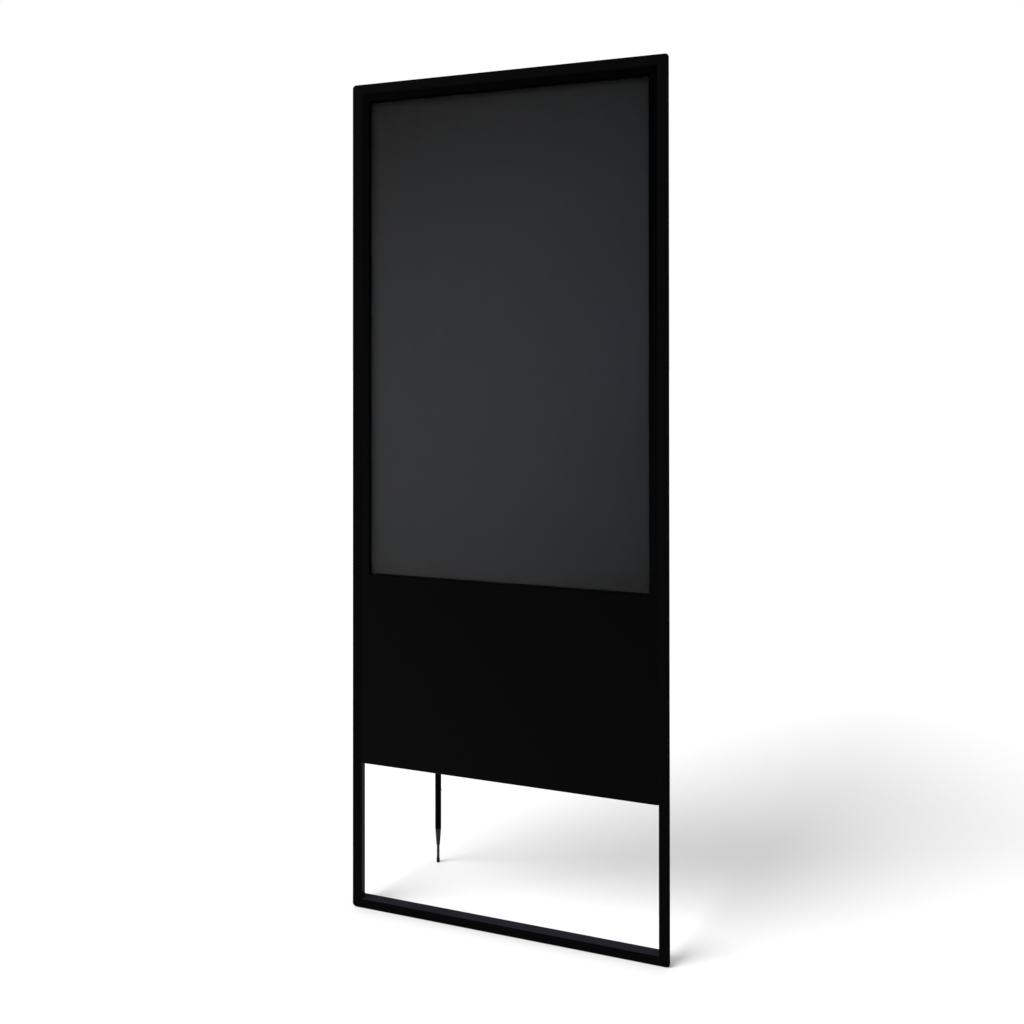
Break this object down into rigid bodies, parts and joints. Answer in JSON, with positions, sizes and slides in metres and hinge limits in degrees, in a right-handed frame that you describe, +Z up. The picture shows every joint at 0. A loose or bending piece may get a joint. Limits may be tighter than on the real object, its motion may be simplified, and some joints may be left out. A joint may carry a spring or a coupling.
{
  "type": "touchscreen kiosk",
  "caption": "Tall portrait touchscreen in a slim tube frame with an open window below, standing on a bottom bar and one folding rear leg.",
  "frame": {"origin": "centre of the bounding box's base, on the floor, with the rear leg opened", "axes": "+Z up, the screen faces -Y, +X to the right as seen from the front"},
  "size_m": [0.6, 0.2188, 1.643],
  "materials": {
    "frame_paint": "satin black powder coat",
    "shell_paint": "fine textured black powder coat",
    "carrier_paint": "black paint",
    "front_glass": "clear over a black printed border, polished",
    "film": "clear touch film",
    "tape_foam": "black foam tape",
    "display": "dark grey anti-glare, switched off",
    "module_metal": "black",
    "acrylic": "clear acrylic light guide",
    "zinc_steel": "zinc plated",
    "steel": "bright steel",
    "black_steel": "black oxide",
    "circuit": "green circuit board",
    "black_plastic": "moulded black",
    "button_plastic": "light grey moulded",
    "player_case": "dark anodised",
    "supply_case": "plain steel",
    "pad_rubber": "black rubber",
    "cone_paper": "black pulp cone",
    "contact_brass": "bright contact blades",
    "chrome": "chromed"
  },
  "bodies": {
    "frame": {"left_post": "frame_paint", "right_post": "frame_paint", "top_rail": "frame_paint", "bottom_bar": "frame_paint", "apron_rail": "frame_paint", "screen_rail": "frame_paint", "foot_pads": "pad_rubber", "touch_glass": "front_glass", "glass_tape": "tape_foam", "touch_film": "film", "carrier_plate": "carrier_paint", "lcd_bezel": "module_metal", "lcd_cell": "display", "light_guide": "acrylic", "lcd_tray": "zinc_steel", "driver_board": "circuit", "screen_mounts": "zinc_steel", "rear_cover": "shell_paint", "cabinet": "shell_paint", "cover_screws": "black_steel", "cabinet_screws": "black_steel", "equipment_plate": "zinc_steel", "plate_screws": "steel", "power_supply": "supply_case", "media_player": "player_case", "touch_board": "circuit", "fan_frame": "black_plastic", "speaker_frames": "black_steel", "speaker_cones": "cone_paper", "power_inlet": "black_plastic", "inlet_pins": "contact_brass", "rocker_housing": "black_plastic", "button_housing": "black_plastic", "hinge_leaves": "black_steel", "hinge_pins": "steel", "leg_bracket": "black_steel", "leg_pin": "steel", "bracket_screws": "black_steel"},
    "leg": {"leg_head": "black_steel", "leg_tube": "frame_paint", "leg_ferrule": "black_plastic"},
    "leg_foot": {"leg_rod": "black_steel", "leg_guide": "black_plastic", "leg_tip": "pad_rubber"},
    "clamp": {"clamp_screw": "steel"},
    "door": {"service_door": "shell_paint", "door_flaps": "black_steel", "lock_body": "chrome"},
    "lock": {"lock_plug": "chrome", "lock_cam": "zinc_steel"},
    "fan": {"fan_rotor": "black_plastic"},
    "rocker_key": {"rocker": "black_plastic"},
    "button": {"power_button": "button_plastic"}
  },
  "joints": [
    {"name": "leg_fold", "type": "hinge", "parent": "frame", "child": "leg", "pos_m": [-0.1522, 0.00557, 0.6003], "axis": [0.9992, 0, -0.0396], "range_deg": [-9.4, 0]},
    {"name": "leg_length", "type": "slide", "parent": "leg", "child": "leg_foot", "axis": [0.0391, -0.1648, 0.9855], "range_m": [-0.02, 0.03]},
    {"name": "clamp_turn", "type": "hinge", "parent": "leg", "child": "clamp", "pos_m": [-0.16278, 0.07746, 0.17022], "axis": [0.9992, 0, -0.0396], "range_deg": [0, 180]},
    {"name": "door_hinge", "type": "hinge", "parent": "frame", "child": "door", "pos_m": [0.257, -0.00323, 0.46665], "axis": [0, 0, -1], "range_deg": [0, 110]},
    {"name": "lock_turn", "type": "hinge", "parent": "door", "child": "lock", "pos_m": [-0.0752, -0.0074, 0.46665], "axis": [0, 1, 0], "range_deg": [0, 90]},
    {"name": "fan_spin", "type": "hinge", "parent": "frame", "child": "fan", "pos_m": [-0.268, -0.04768, 0.5513], "axis": [1, 0, 0], "continuous": true},
    {"name": "rocker_tip", "type": "hinge", "parent": "frame", "child": "rocker_key", "pos_m": [0.273, -0.04768, 0.396], "axis": [0, 0, 1], "range_deg": [-18, 0]},
    {"name": "button_press", "type": "slide", "parent": "frame", "child": "button", "axis": [-1, 0, 0], "range_m": [0, 0.002], "stiffness_N_per_m": 300}
  ]
}
